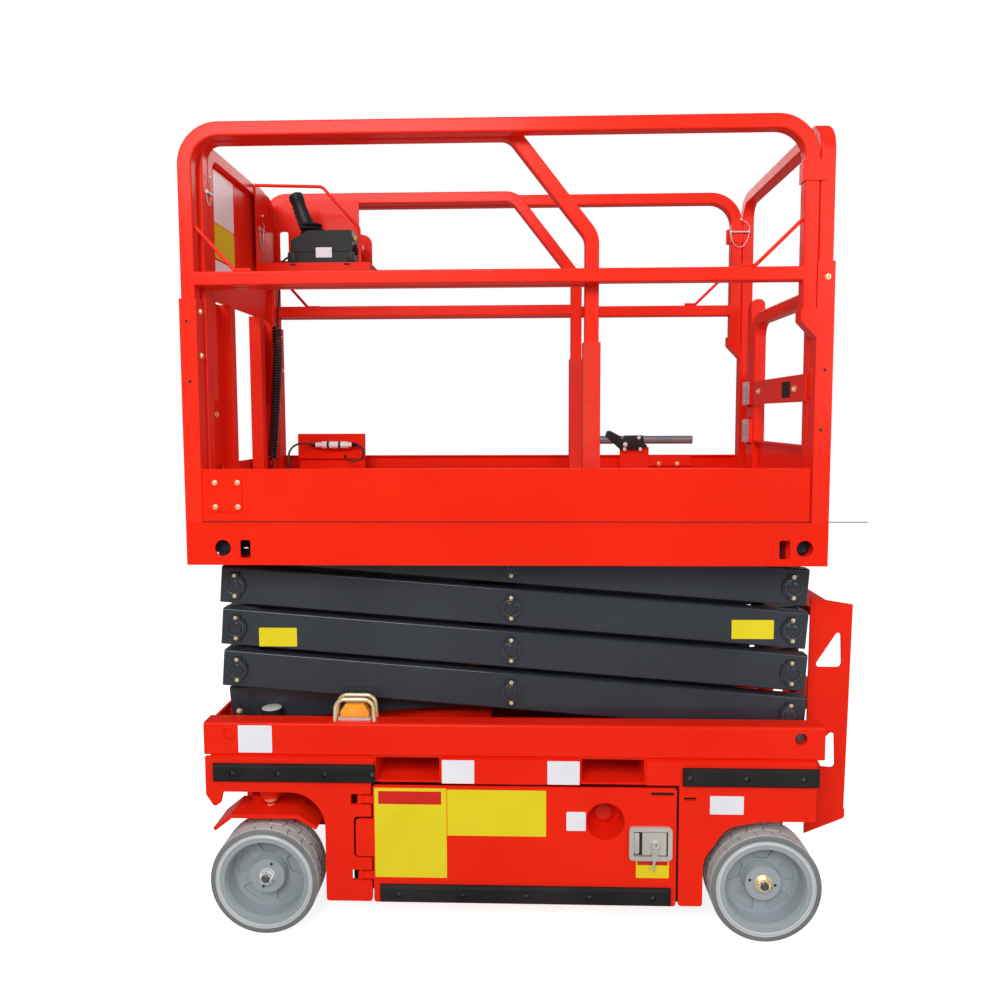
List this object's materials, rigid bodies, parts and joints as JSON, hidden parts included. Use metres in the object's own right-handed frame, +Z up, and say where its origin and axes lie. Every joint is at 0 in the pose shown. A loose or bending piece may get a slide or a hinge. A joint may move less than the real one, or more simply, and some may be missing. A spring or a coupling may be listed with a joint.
{
  "type": "scissor lift",
  "caption": "Compact electric scissor lift: crossed arm stack on a wheeled chassis carries a railed platform with a slide-out deck, gate and rear ladder.",
  "frame": {"origin": "on the floor under the middle of the machine's overall box", "axes": "+Z up, -X the steered front, +X the rear with ladder and gate, +Y the far side with the control station"},
  "size_m": [1.864, 0.76, 2.23],
  "materials": {
    "red_paint": "gloss",
    "dark_paint": "gloss",
    "rubber": "matte",
    "tyre_grey": "matte",
    "wheel_grey": "satin",
    "bare_steel": "brushed",
    "zinc_gold": "satin",
    "amber": "gloss",
    "black_plastic": "matte",
    "beige_plastic": "matte",
    "clear_plastic": "gloss",
    "red_plastic": "gloss"
  },
  "bodies": {
    "chassis": {"chassis_frame": "red_paint", "side_plates": "red_paint", "bumper_strips": "rubber", "front_axle": "red_paint", "rear_axle": "dark_paint", "ladder": "red_paint", "beacon_guard": "zinc_gold", "beacon_lamp": "amber", "rest_pads": "rubber"},
    "door_near": {"door_near": "red_paint", "door_near_bumper": "rubber", "door_near_latch": "beige_plastic", "stop_button": "red_plastic", "hydraulic_unit": "dark_paint"},
    "door_far": {"door_far": "red_paint", "door_far_bumper": "rubber", "door_far_latch": "beige_plastic", "battery_pack": "black_plastic"},
    "knuckle_near": {"knuckle_near": "red_paint"},
    "knuckle_far": {"knuckle_far": "red_paint"},
    "steer_rod": {"steer_rod": "bare_steel"},
    "lift_barrel": {"lift_barrel": "dark_paint"},
    "lift_rod": {"lift_rod": "bare_steel"},
    "platform": {"platform_deck": "red_paint", "toe_boards": "red_paint", "corner_posts": "red_paint", "side_rails": "red_paint", "rear_rail": "red_paint", "slide_lock": "bare_steel"},
    "gate": {"gate": "red_paint"},
    "extension": {"extension_deck": "red_paint", "extension_rails": "red_paint", "control_bracket": "red_paint", "control_box": "black_plastic", "joystick": "black_plastic", "junction_box": "red_paint", "cord_lead": "black_plastic", "cord_coil": "black_plastic", "cord_tail": "black_plastic", "cord_plug": "clear_plastic", "cord_end": "black_plastic"},
    "wheel_front_near": {"rim_front_near": "wheel_grey", "tyre_front_near": "tyre_grey"},
    "wheel_front_far": {"rim_front_far": "wheel_grey", "tyre_front_far": "tyre_grey"},
    "wheel_rear_near": {"rim_rear_near": "wheel_grey", "tyre_rear_near": "tyre_grey"},
    "wheel_rear_far": {"rim_rear_far": "wheel_grey", "tyre_rear_far": "tyre_grey"},
    "outer_arm_1": {"outer_arm_1": "dark_paint"},
    "outer_arm_2": {"outer_arm_2": "dark_paint"},
    "outer_arm_3": {"outer_arm_3": "dark_paint"},
    "outer_arm_4": {"outer_arm_4": "dark_paint"},
    "inner_arm_1": {"inner_arm_1": "dark_paint"},
    "inner_arm_2": {"inner_arm_2": "dark_paint"},
    "inner_arm_3": {"inner_arm_3": "dark_paint"},
    "inner_arm_4": {"inner_arm_4": "dark_paint"}
  },
  "joints": [
    {"name": "lift", "type": "hinge", "parent": "chassis", "child": "outer_arm_1", "pos_m": [0.736, 0, 0.612], "axis": [0, 1, 0], "range_deg": [0, 50]},
    {"name": "cross_1", "type": "hinge", "parent": "outer_arm_1", "child": "inner_arm_1", "pos_m": [-0.048, 0, 0.67275], "axis": [0, -1, 0], "range_deg": [0, 100]},
    {"name": "knee_1", "type": "hinge", "parent": "inner_arm_1", "child": "outer_arm_2", "pos_m": [0.736, 0, 0.7335], "axis": [0, 1, 0], "range_deg": [0, 100]},
    {"name": "cross_2", "type": "hinge", "parent": "outer_arm_2", "child": "inner_arm_2", "pos_m": [-0.048, 0, 0.79425], "axis": [0, -1, 0], "range_deg": [0, 100]},
    {"name": "knee_2", "type": "hinge", "parent": "inner_arm_2", "child": "outer_arm_3", "pos_m": [0.736, 0, 0.855], "axis": [0, 1, 0], "range_deg": [0, 100]},
    {"name": "cross_3", "type": "hinge", "parent": "outer_arm_3", "child": "inner_arm_3", "pos_m": [-0.048, 0, 0.91575], "axis": [0, -1, 0], "range_deg": [0, 100]},
    {"name": "knee_3", "type": "hinge", "parent": "inner_arm_3", "child": "outer_arm_4", "pos_m": [0.736, 0, 0.9765], "axis": [0, 1, 0], "range_deg": [0, 100]},
    {"name": "cross_4", "type": "hinge", "parent": "outer_arm_4", "child": "inner_arm_4", "pos_m": [-0.048, 0, 1.03725], "axis": [0, -1, 0], "range_deg": [0, 100]},
    {"name": "platform_level", "type": "hinge", "parent": "inner_arm_4", "child": "platform", "pos_m": [0.736, 0, 1.098], "axis": [0, 1, 0], "range_deg": [0, 50]},
    {"name": "cylinder_pitch", "type": "hinge", "parent": "chassis", "child": "lift_barrel", "pos_m": [0.55, 0, 0.52], "axis": [0, 1, 0], "range_deg": [0, 52.2]},
    {"name": "cylinder_stroke", "type": "slide", "parent": "lift_barrel", "child": "lift_rod", "axis": [-0.9523, 0, 0.3052], "range_m": [0, 0.1905]},
    {"name": "steer_near", "type": "hinge", "parent": "chassis", "child": "knuckle_near", "pos_m": [-0.742, -0.3, 0.37], "axis": [0, 0, 1], "range_deg": [-60, 60]},
    {"name": "steer_far", "type": "hinge", "parent": "chassis", "child": "knuckle_far", "pos_m": [-0.742, 0.3, 0.37], "axis": [0, 0, 1], "range_deg": [-60, 60]},
    {"name": "steer_stroke", "type": "slide", "parent": "chassis", "child": "steer_rod", "axis": [0, 1, 0], "range_m": [-0.1, 0.1]},
    {"name": "wheel_front_near_spin", "type": "hinge", "parent": "knuckle_near", "child": "wheel_front_near", "pos_m": [-0.742, -0.325, 0.1525], "axis": [0, 1, 0], "continuous": true},
    {"name": "wheel_front_far_spin", "type": "hinge", "parent": "knuckle_far", "child": "wheel_front_far", "pos_m": [-0.742, 0.325, 0.1525], "axis": [0, 1, 0], "continuous": true},
    {"name": "wheel_rear_near_spin", "type": "hinge", "parent": "chassis", "child": "wheel_rear_near", "pos_m": [0.653, -0.325, 0.1525], "axis": [0, 1, 0], "continuous": true},
    {"name": "wheel_rear_far_spin", "type": "hinge", "parent": "chassis", "child": "wheel_rear_far", "pos_m": [0.653, 0.325, 0.1525], "axis": [0, 1, 0], "continuous": true},
    {"name": "door_near_swing", "type": "hinge", "parent": "chassis", "child": "door_near", "pos_m": [-0.47, -0.362, 0.264], "axis": [0, 0, -1], "range_deg": [0, 90]},
    {"name": "door_far_swing", "type": "hinge", "parent": "chassis", "child": "door_far", "pos_m": [-0.47, 0.362, 0.264], "axis": [0, 0, 1], "range_deg": [0, 90]},
    {"name": "extension_slide", "type": "slide", "parent": "platform", "child": "extension", "axis": [-1, 0, 0], "range_m": [0, 0.9]},
    {"name": "gate_swing", "type": "hinge", "parent": "platform", "child": "gate", "pos_m": [0.742, 0.1975, 1.5], "axis": [0, 0, -1], "range_deg": [0, 90]}
  ],
  "couplings": [
    {"joint": "cross_1", "follows": "lift", "ratio": 2},
    {"joint": "knee_1", "follows": "lift", "ratio": 2},
    {"joint": "cross_2", "follows": "lift", "ratio": 2},
    {"joint": "knee_2", "follows": "lift", "ratio": 2},
    {"joint": "cross_3", "follows": "lift", "ratio": 2},
    {"joint": "knee_3", "follows": "lift", "ratio": 2},
    {"joint": "cross_4", "follows": "lift", "ratio": 2},
    {"joint": "platform_level", "follows": "lift", "ratio": 1},
    {"joint": "cylinder_pitch", "follows": "lift", "ratio": 1.0391},
    {"joint": "cylinder_stroke", "follows": "lift", "m_per_rad": 0.21775},
    {"joint": "steer_far", "follows": "steer_near", "ratio": 1},
    {"joint": "steer_stroke", "follows": "steer_near", "m_per_rad": 0.095}
  ]
}
